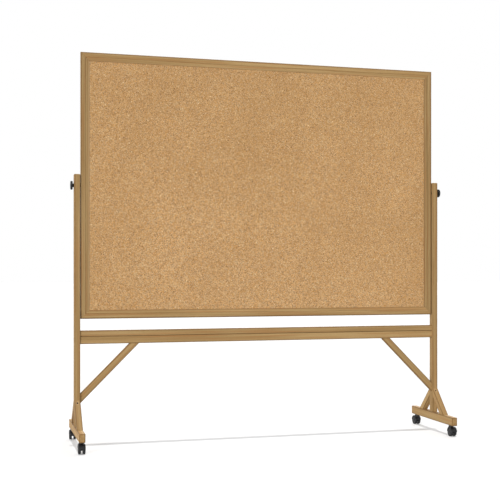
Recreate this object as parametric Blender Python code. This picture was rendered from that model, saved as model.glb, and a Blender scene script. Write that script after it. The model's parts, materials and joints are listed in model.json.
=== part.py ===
"""A reversible cork bulletin board that turns between the posts of a wooden rolling stand.

Lengths are metres, +Z is up and the front faces -Y. The origin is on the floor, below the
middle of the board. The board turns about an axis along X through its own middle, a knob on
each post clamps it, and the stand rolls on four twin-wheel casters.
"""

import math

import bmesh
import bpy
from mathutils import Matrix, Vector

# Room between pieces
SEAT_GAP = 0.0003
CUT_OVERRUN = 0.004

# Board: four mitred mouldings around a core with a cork sheet on each side
BOARD_WIDTH = 1.898
BOARD_HEIGHT = 1.324
FRAME_FACE = 0.043
FRAME_THICKNESS = 0.024
FRAME_EDGE_RADIUS = 0.005
FRAME_FLAT = 0.023
COVE_RADIUS = 0.0022
LIP_EDGE = 0.0014
CORE_THICKNESS = 0.0054
CORK_THICKNESS = 0.003
CORK_PINCH = 0.0006
PANEL_TUCK = 0.011
TUCK_ROOM = 0.001

# Pivot and clamp, on the axis along X through the middle of the board
WOOD_BEHIND_INSERT = 0.006
INSERT_DIAMETER = 0.0114
STUD_DIAMETER = 0.008
STUD_BACK_OFF = 0.002
SPACER_DIAMETER = 0.018
CLAMP_WASHER_DIAMETER = 0.0195
CLAMP_WASHER_THICKNESS = 0.0012
KNOB_NECK_DIAMETER = 0.018
KNOB_NECK_LENGTH = 0.0052
KNOB_HEAD_DIAMETER = 0.0436
KNOB_HEAD_THICKNESS = 0.0095
KNOB_EDGE_RADIUS = 0.0022
KNOB_SKIN = 0.0026
KNOB_DISH = 0.0012
KNOB_DISH_RIM = 0.0035

# Stand
POST_GAP = 0.0025
POST_WIDTH = 0.030
POST_DEPTH = 0.038
POST_ABOVE_PIVOT = 0.0555
BOARD_ABOVE_STRETCHER = 0.058
WOOD_EDGE_RADIUS = 0.0035
TENON_WIDTH = 0.012
TENON_DEPTH = 0.024
TENON_LENGTH = 0.022
STRETCHER_DEPTH = 0.025
UPPER_STRETCHER_HEIGHT = 0.0285
LOWER_STRETCHER_HEIGHT = 0.038
STRETCHER_ABOVE_FOOT = 0.406
STRETCHER_EDGE_RADIUS = 0.0028
DIAGONAL_DEPTH = 0.019
DIAGONAL_WIDTH = 0.034
DIAGONAL_REACH = 0.2455
DIAGONAL_EDGE_RADIUS = 0.0022
FOOT_LENGTH = 0.501
FOOT_HEIGHT = 0.044
FOOT_BRACE_RISE = 0.1285
FOOT_BRACE_WIDTH = 0.032

# Screws and bolts
BRACE_SCREW_BELOW_TIP = 0.012
BRACE_SCREW_HEAD_DIAMETER = 0.0082
BRACE_SCREW_HEAD_THICKNESS = 0.0026
BRACE_SCREW_DIAMETER = 0.0045
BRACE_SCREW_SEAT = 0.0052
BRACE_SCREW_BITE = 0.014
STRETCHER_BOLT_HEAD_DIAMETER = 0.0125
STRETCHER_BOLT_HEAD_THICKNESS = 0.0038
STRETCHER_BOLT_DIAMETER = 0.006
STRETCHER_BOLT_SEAT = 0.0055
STRETCHER_BOLT_BITE = 0.055
SOCKET_ACROSS_FLATS_SHARE = 0.42
SOCKET_DEPTH_SHARE = 0.6

# Casters
CASTER_INSET = 0.042
CASTER_TRAIL = 0.0115
WHEEL_DIAMETER = 0.045
WHEEL_WIDTH = 0.0118
WHEEL_OUTER_EDGE = 0.0042
WHEEL_INNER_EDGE = 0.0014
WHEEL_RIM = 0.0016
WHEEL_DISH = 0.0016
WHEEL_DISH_SLOPE = 0.0012
WHEEL_HUB_DIAMETER = 0.014
WHEEL_HUB_SETBACK = 0.0005
WHEEL_SIDE_GAP = 0.0006
WHEEL_WELL_GAP = 0.0018
WEB_THICKNESS = 0.0092
HOOD_WALL = 0.003
HUB_BOSS_DIAMETER = 0.013
CROWN_DIAMETER = 0.0255
CROWN_RISE = 0.005
AXLE_DIAMETER = 0.006
STEM_DIAMETER = 0.008
STEM_SEAT = 0.0105
STEM_REACH = 0.030
SOCKET_WALL = 0.0012
SOCKET_FLANGE_DIAMETER = 0.020
SOCKET_FLANGE_THICKNESS = 0.0012
SOCKET_END_ROOM = 0.002

# Facets of round shapes
WHEEL_STEPS = 32
KNOB_STEPS = 40
PIN_STEPS = 20
EDGE_SEGMENTS = 3
MOULDING_ARC_STEPS = 4
KNOB_EDGE_STEPS = 3
WHEEL_EDGE_STEPS = 3
HOOD_ARC_STEPS = 18
BOSS_ARC_STEPS = 6
HOOD_START = math.radians(6)
BOSS_START = math.radians(205)
SMOOTH_ANGLE = math.radians(35)
PARALLEL_SHARE = 0.999
DIAGONAL = math.sqrt(2)

# Sizes that follow from the ones above
PANEL_HALF = CORE_THICKNESS / 2 + SEAT_GAP + CORK_THICKNESS
PINCHED_HALF = PANEL_HALF - CORK_PINCH
GROOVE_DEPTH = PANEL_TUCK + TUCK_ROOM
INSERT_LENGTH = FRAME_FACE - GROOVE_DEPTH - WOOD_BEHIND_INSERT
PANEL_WIDTH = BOARD_WIDTH - 2 * FRAME_FACE + 2 * PANEL_TUCK
PANEL_HEIGHT = BOARD_HEIGHT - 2 * FRAME_FACE + 2 * PANEL_TUCK
POST_INNER = BOARD_WIDTH / 2 + POST_GAP
POST_CENTRE = POST_INNER + POST_WIDTH / 2
WHEEL_RADIUS = WHEEL_DIAMETER / 2
AXLE_HEIGHT = WHEEL_RADIUS * math.cos(math.pi / WHEEL_STEPS)
WELL_RADIUS = WHEEL_RADIUS + WHEEL_WELL_GAP
HOOD_RADIUS = WELL_RADIUS + HOOD_WALL
CASTER_HALF_WIDTH = WEB_THICKNESS / 2 + WHEEL_SIDE_GAP + WHEEL_WIDTH
CROWN_TOP = AXLE_HEIGHT + HOOD_RADIUS + CROWN_RISE
FOOT_BOTTOM = CROWN_TOP + 2 * SEAT_GAP + SOCKET_FLANGE_THICKNESS
FOOT_TOP = FOOT_BOTTOM + FOOT_HEIGHT
STRETCHER_BOTTOM = FOOT_TOP + STRETCHER_ABOVE_FOOT
STRETCHER_TOP = STRETCHER_BOTTOM + LOWER_STRETCHER_HEIGHT + SEAT_GAP + UPPER_STRETCHER_HEIGHT
PIVOT_HEIGHT = STRETCHER_TOP + BOARD_ABOVE_STRETCHER + BOARD_HEIGHT / 2
POST_TOP = PIVOT_HEIGHT + POST_ABOVE_PIVOT
BRACE_SCREW_HEIGHT = FOOT_BRACE_RISE - BRACE_SCREW_BELOW_TIP
STRETCHER_BOLT_HEIGHT = STRETCHER_BOTTOM + LOWER_STRETCHER_HEIGHT / 2
CASTER_Y = FOOT_LENGTH / 2 - CASTER_INSET
SOCKET_DIAMETER = STEM_DIAMETER + 2 * SEAT_GAP + 2 * SOCKET_WALL

QUARTER_TURN = math.radians(90)
HALF_TURN = math.radians(180)
FULL_TURN = math.radians(360)
SIDES = (("left", -1), ("right", 1))
ENDS = (("front", 0), ("back", HALF_TURN))


# Scene and materials


def clear_scene():
    for old in list(bpy.data.objects):
        bpy.data.objects.remove(old, do_unlink=True)


def linear(byte):
    value = byte / 255
    return value / 12.92 if value <= 0.04045 else ((value + 0.055) / 1.055) ** 2.4


def material(name, red, green, blue, roughness, metallic=0):
    """A plain Principled material from a colour as seen on a screen, 0 to 255."""
    made = bpy.data.materials.new(name)
    made.use_nodes = True
    shader = made.node_tree.nodes["Principled BSDF"]
    shader.inputs["Base Color"].default_value = (linear(red), linear(green), linear(blue), 1)
    shader.inputs["Roughness"].default_value = roughness
    shader.inputs["Metallic"].default_value = metallic
    made.diffuse_color = (linear(red), linear(green), linear(blue), 1)
    return made


def make_materials():
    return {
        "frame_wood": material("frame_wood", 172, 138, 96, 0.45),
        "stand_wood": material("stand_wood", 170, 134, 90, 0.45),
        "cork": material("cork", 193, 153, 108, 0.9),
        "core": material("core", 128, 104, 78, 0.9),
        "black_plastic": material("black_plastic", 38, 38, 40, 0.45),
        "wheel_plastic": material("wheel_plastic", 44, 44, 47, 0.55),
        "black_washer": material("black_washer", 28, 26, 25, 0.6),
        "steel": material("steel", 168, 168, 170, 0.35, 1),
        "brass": material("brass", 178, 150, 92, 0.35, 1),
        "dark_steel": material("dark_steel", 62, 58, 54, 0.45, 1),
    }


# Objects


def empty(name, parent=None, location=(0, 0, 0), rotation=(0, 0, 0)):
    made = bpy.data.objects.new(name, None)
    bpy.context.scene.collection.objects.link(made)
    made.parent = parent
    made.location = location
    made.rotation_euler = rotation
    return made


def piece(name, mesh, finish, parent=None, location=(0, 0, 0), rotation=(0, 0, 0)):
    """One sub-part: its mesh may be shared, so the finish is held by the object."""
    made = bpy.data.objects.new(name, mesh)
    bpy.context.scene.collection.objects.link(made)
    if not mesh.materials:
        mesh.materials.append(finish)
    made.parent = parent
    made.location = location
    made.rotation_euler = rotation
    return made


# Shapes


def finished(name, shape):
    """The bmesh as a mesh whose faces point out, smooth except at its real edges."""
    bmesh.ops.recalc_face_normals(shape, faces=shape.faces)
    mesh = bpy.data.meshes.new(name)
    shape.to_mesh(mesh)
    shape.free()
    mesh.shade_smooth()
    mesh.set_sharp_from_angle(angle=SMOOTH_ANGLE)
    return mesh


def combined(name, base, steps):
    """The base shape with each (operation, shape) of the steps applied to it, as one mesh."""
    scene_objects = bpy.context.scene.collection.objects
    main = bpy.data.objects.new(name, finished(name, base))
    scene_objects.link(main)
    helpers = []
    for operation, shape in steps:
        helper = bpy.data.objects.new(name + "_helper", finished(name + "_helper", shape))
        scene_objects.link(helper)
        helper.display_type = "WIRE"
        helper.hide_render = True
        helpers.append(helper)
        boolean = main.modifiers.new(operation, "BOOLEAN")
        boolean.operation = operation
        boolean.solver = "EXACT"
        boolean.object = helper
    graph = bpy.context.evaluated_depsgraph_get()
    mesh = bpy.data.meshes.new_from_object(main.evaluated_get(graph))
    mesh.name = name
    mesh.shade_smooth()
    mesh.set_sharp_from_angle(angle=SMOOTH_ANGLE)
    for helper in helpers + [main]:
        bpy.data.objects.remove(helper, do_unlink=True)
    return mesh


def arc(centre, radius, start, end, steps):
    """Points on a circle about centre, both ends included, by angle in radians."""
    points = []
    for step in range(steps + 1):
        angle = start + (end - start) * step / steps
        points.append((centre[0] + radius * math.cos(angle), centre[1] + radius * math.sin(angle)))
    return points


def rectangle(low_a, high_a, low_b, high_b):
    return [(low_a, low_b), (high_a, low_b), (high_a, high_b), (low_a, high_b)]


def skinned(outlines):
    """A closed shape whose skin joins outlines of as many points each, in their order."""
    shape = bmesh.new()
    rings = []
    for outline in outlines:
        rings.append([shape.verts.new(point) for point in outline])
    for one, other in zip(rings, rings[1:]):
        for i in range(len(one)):
            j = (i + 1) % len(one)
            shape.faces.new((one[i], one[j], other[j], other[i]))
    shape.faces.new(rings[0])
    shape.faces.new(rings[-1])
    return shape


def prism(outline, axes, low, high):
    """The outline, laid on the first two axes named, drawn along the third from low to high."""
    outlines = []
    for level in (low, high):
        places = [dict(zip(axes, (a, b, level))) for a, b in outline]
        outlines.append([(place["X"], place["Y"], place["Z"]) for place in places])
    return skinned(outlines)


def turned(profile, steps, closed=False):
    """A solid turned about Z from (radius, height) points: a ring if closed, and
    otherwise a solid whose first and last points lie on the axis. A flat, not a corner,
    faces each quarter turn."""
    shape = bmesh.new()
    rings = []
    for radius, height in profile:
        if radius == 0:
            rings.append([shape.verts.new((0, 0, height))] * steps)
            continue
        ring = []
        for step in range(steps):
            angle = FULL_TURN * (step + 1 / 2) / steps
            ring.append(shape.verts.new((radius * math.cos(angle), radius * math.sin(angle), height)))
        rings.append(ring)
    pairs = list(zip(rings, rings[1:]))
    if closed:
        pairs.append((rings[-1], rings[0]))
    for one, other in pairs:
        for i in range(steps):
            j = (i + 1) % steps
            corners = [one[i], one[j], other[j], other[i]]
            shape.faces.new(list(dict.fromkeys(corners)))
    return shape


def pin(radius, low, high, steps=PIN_STEPS):
    return turned([(0, low), (radius, low), (radius, high), (0, high)], steps)


def tube(inner, outer, low, high, steps=PIN_STEPS):
    return turned([(inner, low), (outer, low), (outer, high), (inner, high)], steps, closed=True)


def moved(shape, rotation=(0, 0, 0), offset=(0, 0, 0)):
    """The shape turned about X, Y and Z in that order, then shifted."""
    for angle, axis in zip(rotation, "XYZ"):
        bmesh.ops.rotate(shape, verts=shape.verts, matrix=Matrix.Rotation(angle, 3, axis))
    bmesh.ops.translate(shape, verts=shape.verts, vec=offset)
    return shape


def round_edges(shape, chosen, radius):
    """Rounds the edges for which chosen(start, end) is true."""
    edges = [edge for edge in shape.edges if chosen(edge.verts[0].co, edge.verts[1].co)]
    bmesh.ops.bevel(
        shape,
        geom=edges,
        offset=radius,
        offset_type="OFFSET",
        segments=EDGE_SEGMENTS,
        profile=1 / 2,
        affect="EDGES",
        clamp_overlap=True,
    )
    return shape


def runs_along(direction):
    """A test for edges that run along a direction."""
    unit = Vector(direction).normalized()
    return lambda start, end: abs((end - start).normalized().dot(unit)) > PARALLEL_SHARE


def socket_key(head_diameter, head_top, head_thickness):
    """The six-sided hole for a key in a screw's head."""
    across = head_diameter * SOCKET_ACROSS_FLATS_SHARE
    depth = head_thickness * SOCKET_DEPTH_SHARE
    return pin(across / DIAGONAL, head_top - depth, head_top + CUT_OVERRUN, steps=6)


def screw_mesh(name, head_diameter, head_thickness, shank_diameter, shank_length):
    """A screw on Z whose head stands on z = 0 and whose shank hangs below."""
    head = head_diameter / 2
    shank = shank_diameter / 2
    point = shank_diameter
    profile = [
        (0, -shank_length),
        (shank / 2, -shank_length),
        (shank, point - shank_length),
        (shank, 0),
        (head, 0),
        (head, head_thickness * 3 / 4),
        (head * 7 / 8, head_thickness),
        (0, head_thickness),
    ]
    key = socket_key(head_diameter, head_thickness, head_thickness)
    return combined(name, turned(profile, PIN_STEPS), [("DIFFERENCE", key)])


# Board


def moulding_section():
    """The moulding's outline as (distance in from the outer edge, distance to the front)."""
    half = FRAME_THICKNESS / 2
    edge = FRAME_EDGE_RADIUS
    bead_start = FRAME_FLAT + 2 * COVE_RADIUS
    lip = PANEL_HALF + LIP_EDGE
    front = arc((edge, half - edge), edge, HALF_TURN, QUARTER_TURN, MOULDING_ARC_STEPS)
    front += arc((FRAME_FLAT + COVE_RADIUS, half), COVE_RADIUS, HALF_TURN, FULL_TURN, MOULDING_ARC_STEPS)
    for step in range(1, MOULDING_ARC_STEPS + 1):
        angle = QUARTER_TURN * step / MOULDING_ARC_STEPS
        across = bead_start + (FRAME_FACE - bead_start) * math.sin(angle)
        front.append((across, lip + (half - lip) * math.cos(angle)))
    front.append((FRAME_FACE, PINCHED_HALF + SEAT_GAP))
    front.append((FRAME_FACE - GROOVE_DEPTH, PINCHED_HALF + SEAT_GAP))
    back = [(across, -forward) for across, forward in reversed(front)]
    return front + back


def mitred_moulding(length):
    """A moulding along X, its outer edge on z = 0, cut at 45 degrees at both ends."""
    relief = SEAT_GAP / DIAGONAL
    section = moulding_section()
    outlines = []
    for end in (-1, 1):
        reaches = [end * (length / 2 - across - relief) for across, _ in section]
        outlines.append([(x, -forward, -across) for x, (across, forward) in zip(reaches, section)])
    return skinned(outlines)


def upright_sheet(name, levels):
    """A sheet whose outline is (width, height) at each y of its levels, in order."""
    outlines = []
    for width, height, y in levels:
        corners = rectangle(-width / 2, width / 2, -height / 2, height / 2)
        outlines.append([(x, y, z) for x, z in corners])
    return finished(name, skinned(outlines))


def cork_sheet_mesh(facing):
    """A cork sheet, facing -1 to the front or 1 to the back. Its edge lies pinched in the
    frame's groove, and its field stands up to its full thickness between the frame's lips."""
    field_width = BOARD_WIDTH - 2 * (FRAME_FACE + SEAT_GAP)
    field_height = BOARD_HEIGHT - 2 * (FRAME_FACE + SEAT_GAP)
    levels = [
        (PANEL_WIDTH, PANEL_HEIGHT, facing * (PANEL_HALF - CORK_THICKNESS)),
        (PANEL_WIDTH, PANEL_HEIGHT, facing * PINCHED_HALF),
        (field_width, field_height, facing * PINCHED_HALF),
        (field_width, field_height, facing * PANEL_HALF),
    ]
    return upright_sheet("cork_sheet", levels)


def make_board(looks, pivot):
    """The board, built about its pivot axis, and the two threaded inserts in its stiles."""
    rail = finished("frame_rail", mitred_moulding(BOARD_WIDTH))
    bore = pin(INSERT_DIAMETER / 2 + SEAT_GAP, -INSERT_LENGTH - SEAT_GAP, CUT_OVERRUN)
    stile = combined("frame_stile", mitred_moulding(BOARD_HEIGHT), [("DIFFERENCE", bore)])
    wood = looks["frame_wood"]
    piece("frame_top_rail", rail, wood, pivot, (0, 0, BOARD_HEIGHT / 2))
    piece("frame_bottom_rail", rail, wood, pivot, (0, 0, -BOARD_HEIGHT / 2), (0, HALF_TURN, 0))
    insert = finished(
        "pivot_insert",
        tube(STUD_DIAMETER / 2 + SEAT_GAP, INSERT_DIAMETER / 2, -INSERT_LENGTH, 0),
    )
    for side, sign in SIDES:
        place = (sign * BOARD_WIDTH / 2, 0, 0)
        turn = (0, sign * QUARTER_TURN, 0)
        piece("frame_" + side + "_stile", stile, wood, pivot, place, turn)
        piece("pivot_insert_" + side, insert, looks["brass"], pivot, place, turn)
    half = CORE_THICKNESS / 2
    core_levels = [(PANEL_WIDTH, PANEL_HEIGHT, y) for y in (-half, half)]
    piece("board_core", upright_sheet("board_core", core_levels), looks["core"], pivot)
    piece("cork_sheet_front", cork_sheet_mesh(-1), looks["cork"], pivot)
    piece("cork_sheet_back", cork_sheet_mesh(1), looks["cork"], pivot)


def knob_mesh(low):
    """The clamp knob on Z: its neck stands at low, and the stud's blind hole opens there."""
    bore = STUD_DIAMETER / 2 + SEAT_GAP
    neck = KNOB_NECK_DIAMETER / 2
    edge = KNOB_EDGE_RADIUS
    shoulder = low + KNOB_NECK_LENGTH
    top = shoulder + KNOB_HEAD_THICKNESS
    rim = KNOB_HEAD_DIAMETER / 2 - edge
    profile = [(0, top - KNOB_SKIN - KNOB_DISH), (bore, top - KNOB_SKIN - KNOB_DISH)]
    profile += [(bore, low), (neck, low), (neck, shoulder)]
    profile += arc((rim, shoulder + edge), edge, -QUARTER_TURN, 0, KNOB_EDGE_STEPS)
    profile += arc((rim, top - edge), edge, 0, QUARTER_TURN, KNOB_EDGE_STEPS)
    profile += [(rim - KNOB_DISH_RIM, top - KNOB_DISH), (0, top - KNOB_DISH)]
    return finished("clamp_knob", turned(profile, KNOB_STEPS))


def make_clamps(looks, pivot):
    """On each side a spacer, a washer and a knob with its stud, on an axis that points out."""
    post_outer = POST_GAP + POST_WIDTH
    washer_low = post_outer + SEAT_GAP
    knob_low = washer_low + CLAMP_WASHER_THICKNESS + SEAT_GAP
    knob_top = knob_low + KNOB_NECK_LENGTH + KNOB_HEAD_THICKNESS
    stud_hole = STUD_DIAMETER / 2 + SEAT_GAP
    spacer = finished(
        "pivot_spacer",
        tube(stud_hole, SPACER_DIAMETER / 2, SEAT_GAP, POST_GAP - SEAT_GAP, KNOB_STEPS),
    )
    washer = finished(
        "clamp_washer",
        tube(
            stud_hole,
            CLAMP_WASHER_DIAMETER / 2,
            washer_low,
            washer_low + CLAMP_WASHER_THICKNESS,
            KNOB_STEPS,
        ),
    )
    knob = knob_mesh(knob_low)
    stud_top = knob_top - KNOB_SKIN - KNOB_DISH - SEAT_GAP
    stud = finished("clamp_stud", pin(STUD_DIAMETER / 2, STUD_BACK_OFF - INSERT_LENGTH, stud_top))
    for side, sign in SIDES:
        place = (sign * BOARD_WIDTH / 2, 0, 0)
        axis = empty("clamp_axis_" + side, pivot, place, (0, sign * QUARTER_TURN, 0))
        piece("pivot_spacer_" + side, spacer, looks["black_washer"], axis)
        piece("clamp_washer_" + side, washer, looks["black_washer"], axis)
        piece("clamp_knob_" + side, knob, looks["black_plastic"], axis)
        piece("clamp_stud_" + side, stud, looks["steel"], axis)


# Stand


def cross_bore(radius, low, high, height):
    """A cutter along X through a post, at a height above the foot."""
    return moved(pin(radius, low, high), (0, QUARTER_TURN, 0), (0, 0, height))


def post_mesh():
    """A post about its own axis, outer side towards +X, standing on the foot at z = 0."""
    half_width = POST_WIDTH / 2
    half_depth = POST_DEPTH / 2
    top = POST_TOP - FOOT_TOP
    outline = rectangle(-half_width, half_width, -half_depth, half_depth)
    bar = prism(outline, "XYZ", SEAT_GAP, top)
    upright = runs_along((0, 0, 1))
    middle = top / 2
    round_edges(
        bar,
        lambda start, end: upright(start, end) or min(start.z, end.z) > middle,
        WOOD_EDGE_RADIUS,
    )
    tenon_outline = rectangle(-TENON_WIDTH / 2, TENON_WIDTH / 2, -TENON_DEPTH / 2, TENON_DEPTH / 2)
    tenon = prism(tenon_outline, "XYZ", SEAT_GAP - TENON_LENGTH, TENON_LENGTH)
    out = half_width + CUT_OVERRUN
    stud = cross_bore(STUD_DIAMETER / 2 + SEAT_GAP, -out, out, PIVOT_HEIGHT - FOOT_TOP)
    bolt_height = STRETCHER_BOLT_HEIGHT - FOOT_TOP
    bolt = cross_bore(STRETCHER_BOLT_DIAMETER / 2 + SEAT_GAP, -out, out, bolt_height)
    bolt_seat = cross_bore(
        STRETCHER_BOLT_HEAD_DIAMETER / 2 + SEAT_GAP,
        half_width - STRETCHER_BOLT_SEAT,
        out,
        bolt_height,
    )
    through = half_depth + CUT_OVERRUN
    screw = moved(
        pin(BRACE_SCREW_DIAMETER / 2 + SEAT_GAP, -through, through),
        (QUARTER_TURN, 0, 0),
        (0, 0, BRACE_SCREW_HEIGHT),
    )
    steps = [("UNION", tenon)] + [("DIFFERENCE", cut) for cut in (stud, bolt, bolt_seat, screw)]
    return combined("post", bar, steps)


def foot_mesh():
    """A foot along Y, its underside on z = 0."""
    half = FOOT_LENGTH / 2
    outline = rectangle(-POST_WIDTH / 2, POST_WIDTH / 2, -half, half)
    bar = prism(outline, "XYZ", 0, FOOT_HEIGHT)
    round_edges(bar, lambda start, end: True, WOOD_EDGE_RADIUS)
    wide = TENON_WIDTH / 2 + SEAT_GAP
    deep = TENON_DEPTH / 2 + SEAT_GAP
    mortise = prism(
        rectangle(-wide, wide, -deep, deep),
        "XYZ",
        FOOT_HEIGHT - TENON_LENGTH - SEAT_GAP,
        FOOT_HEIGHT + CUT_OVERRUN,
    )
    steps = [("DIFFERENCE", mortise)]
    for end in (-1, 1):
        bore = pin(SOCKET_DIAMETER / 2 + SEAT_GAP, -CUT_OVERRUN, STEM_REACH + SOCKET_END_ROOM + SEAT_GAP)
        steps.append(("DIFFERENCE", moved(bore, offset=(0, end * CASTER_Y, 0))))
    return combined("foot", bar, steps)


def foot_brace_mesh():
    """The front brace of a foot, in the plane of Y and Z, with the foot's top on z = 0."""
    near = POST_DEPTH / 2 + SEAT_GAP
    slant = FOOT_BRACE_WIDTH * DIAGONAL
    outline = [
        (-near, FOOT_BRACE_RISE),
        (-near, FOOT_BRACE_RISE - slant),
        (slant - near - FOOT_BRACE_RISE + SEAT_GAP, SEAT_GAP),
        (SEAT_GAP - near - FOOT_BRACE_RISE, SEAT_GAP),
    ]
    bar = prism(outline, "YZX", -POST_WIDTH / 2, POST_WIDTH / 2)
    round_edges(bar, runs_along((0, 1, 1)), WOOD_EDGE_RADIUS)
    seat = POST_DEPTH / 2 + BRACE_SCREW_SEAT
    head = moved(
        pin(BRACE_SCREW_HEAD_DIAMETER / 2 + SEAT_GAP, seat, seat + FOOT_BRACE_RISE),
        (QUARTER_TURN, 0, 0),
        (0, 0, BRACE_SCREW_HEIGHT),
    )
    shank = moved(
        pin(BRACE_SCREW_DIAMETER / 2 + SEAT_GAP, 0, seat + CUT_OVERRUN),
        (QUARTER_TURN, 0, 0),
        (0, 0, BRACE_SCREW_HEIGHT),
    )
    return combined("foot_brace", bar, [("DIFFERENCE", head), ("DIFFERENCE", shank)])


def stretcher_bar(height):
    """A stretcher between the posts, along X, its underside on z = 0."""
    reach = POST_INNER - SEAT_GAP
    outline = rectangle(-STRETCHER_DEPTH / 2, STRETCHER_DEPTH / 2, 0, height)
    bar = prism(outline, "YZX", -reach, reach)
    return round_edges(bar, runs_along((1, 0, 0)), STRETCHER_EDGE_RADIUS)


def lower_stretcher_mesh():
    reach = POST_INNER - SEAT_GAP
    radius = STRETCHER_BOLT_DIAMETER / 2 + SEAT_GAP
    steps = []
    for _, sign in SIDES:
        bore = pin(radius, reach - STRETCHER_BOLT_BITE, reach + CUT_OVERRUN)
        bore = moved(bore, (0, sign * QUARTER_TURN, 0), (0, 0, LOWER_STRETCHER_HEIGHT / 2))
        steps.append(("DIFFERENCE", bore))
    return combined("stretcher_lower", stretcher_bar(LOWER_STRETCHER_HEIGHT), steps)


def diagonal_brace_mesh():
    """The right diagonal, between the post and the underside of the stretcher at z = 0."""
    side = POST_INNER - SEAT_GAP
    slant = DIAGONAL_WIDTH * DIAGONAL
    upper = side - DIAGONAL_REACH
    outline = [
        (side, -DIAGONAL_REACH - SEAT_GAP),
        (upper, -SEAT_GAP),
        (upper - slant, -SEAT_GAP),
        (side, -DIAGONAL_REACH - slant - SEAT_GAP),
    ]
    bar = prism(outline, "XZY", -DIAGONAL_DEPTH / 2, DIAGONAL_DEPTH / 2)
    return finished("diagonal_brace", round_edges(bar, runs_along((1, 0, -1)), DIAGONAL_EDGE_RADIUS))


def make_crossbar(looks, stand):
    wood = looks["stand_wood"]
    lower = lower_stretcher_mesh()
    upper = finished("stretcher_upper", stretcher_bar(UPPER_STRETCHER_HEIGHT))
    upper_low = STRETCHER_BOTTOM + LOWER_STRETCHER_HEIGHT + SEAT_GAP
    piece("stretcher_lower", lower, wood, stand, (0, 0, STRETCHER_BOTTOM))
    piece("stretcher_upper", upper, wood, stand, (0, 0, upper_low))
    diagonal = diagonal_brace_mesh()
    piece("diagonal_brace_right", diagonal, wood, stand, (0, 0, STRETCHER_BOTTOM))
    piece("diagonal_brace_left", diagonal, wood, stand, (0, 0, STRETCHER_BOTTOM), (0, 0, HALF_TURN))
    bolt = screw_mesh(
        "stretcher_bolt",
        STRETCHER_BOLT_HEAD_DIAMETER,
        STRETCHER_BOLT_HEAD_THICKNESS,
        STRETCHER_BOLT_DIAMETER,
        POST_WIDTH - STRETCHER_BOLT_SEAT + STRETCHER_BOLT_BITE - SEAT_GAP,
    )
    seat = POST_INNER + POST_WIDTH - STRETCHER_BOLT_SEAT + SEAT_GAP
    for side, sign in SIDES:
        place = (sign * seat, 0, STRETCHER_BOLT_HEIGHT)
        turn = (0, sign * QUARTER_TURN, 0)
        piece("stretcher_bolt_" + side, bolt, looks["dark_steel"], stand, place, turn)


def make_sides(looks, stand):
    """Each side's post and foot, and the pair of braces that stiffen them."""
    wood = looks["stand_wood"]
    post = post_mesh()
    foot = foot_mesh()
    brace = foot_brace_mesh()
    screw = screw_mesh(
        "foot_brace_screw",
        BRACE_SCREW_HEAD_DIAMETER,
        BRACE_SCREW_HEAD_THICKNESS,
        BRACE_SCREW_DIAMETER,
        BRACE_SCREW_SEAT + BRACE_SCREW_BITE,
    )
    screw_out = POST_DEPTH / 2 + BRACE_SCREW_SEAT + SEAT_GAP
    for side, sign in SIDES:
        column = sign * POST_CENTRE
        turn = (0, 0, 0 if sign > 0 else HALF_TURN)
        piece("post_" + side, post, wood, stand, (column, 0, FOOT_TOP), turn)
        piece("foot_" + side, foot, wood, stand, (column, 0, FOOT_BOTTOM))
        for end, spin in ENDS:
            label = end + "_" + side
            piece("foot_brace_" + label, brace, wood, stand, (column, 0, FOOT_TOP), (0, 0, spin))
            out = -screw_out if spin == 0 else screw_out
            place = (column, out, FOOT_TOP + BRACE_SCREW_HEIGHT)
            name = "foot_brace_screw_" + label
            piece(name, screw, looks["dark_steel"], stand, place, (QUARTER_TURN, 0, spin))


# Casters


def wheel_mesh():
    """A wheel on Z, with its inner side at the web's side gap and its outer side above."""
    bore = AXLE_DIAMETER / 2 + SEAT_GAP
    inner = WEB_THICKNESS / 2 + WHEEL_SIDE_GAP
    outer = inner + WHEEL_WIDTH
    tread = WHEEL_RADIUS - WHEEL_OUTER_EDGE
    dish = tread - WHEEL_RIM - WHEEL_DISH_SLOPE
    hub = WHEEL_HUB_DIAMETER / 2
    profile = [(bore, inner), (WHEEL_RADIUS - WHEEL_INNER_EDGE, inner)]
    profile += [(WHEEL_RADIUS, inner + WHEEL_INNER_EDGE)]
    profile += arc((tread, outer - WHEEL_OUTER_EDGE), WHEEL_OUTER_EDGE, 0, QUARTER_TURN, WHEEL_EDGE_STEPS)
    profile += [(tread - WHEEL_RIM, outer), (dish, outer - WHEEL_DISH)]
    profile += [(hub + WHEEL_DISH_SLOPE, outer - WHEEL_DISH), (hub, outer - WHEEL_HUB_SETBACK)]
    profile += [(bore, outer - WHEEL_HUB_SETBACK)]
    return finished("caster_wheel", turned(profile, WHEEL_STEPS, closed=True))


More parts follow.
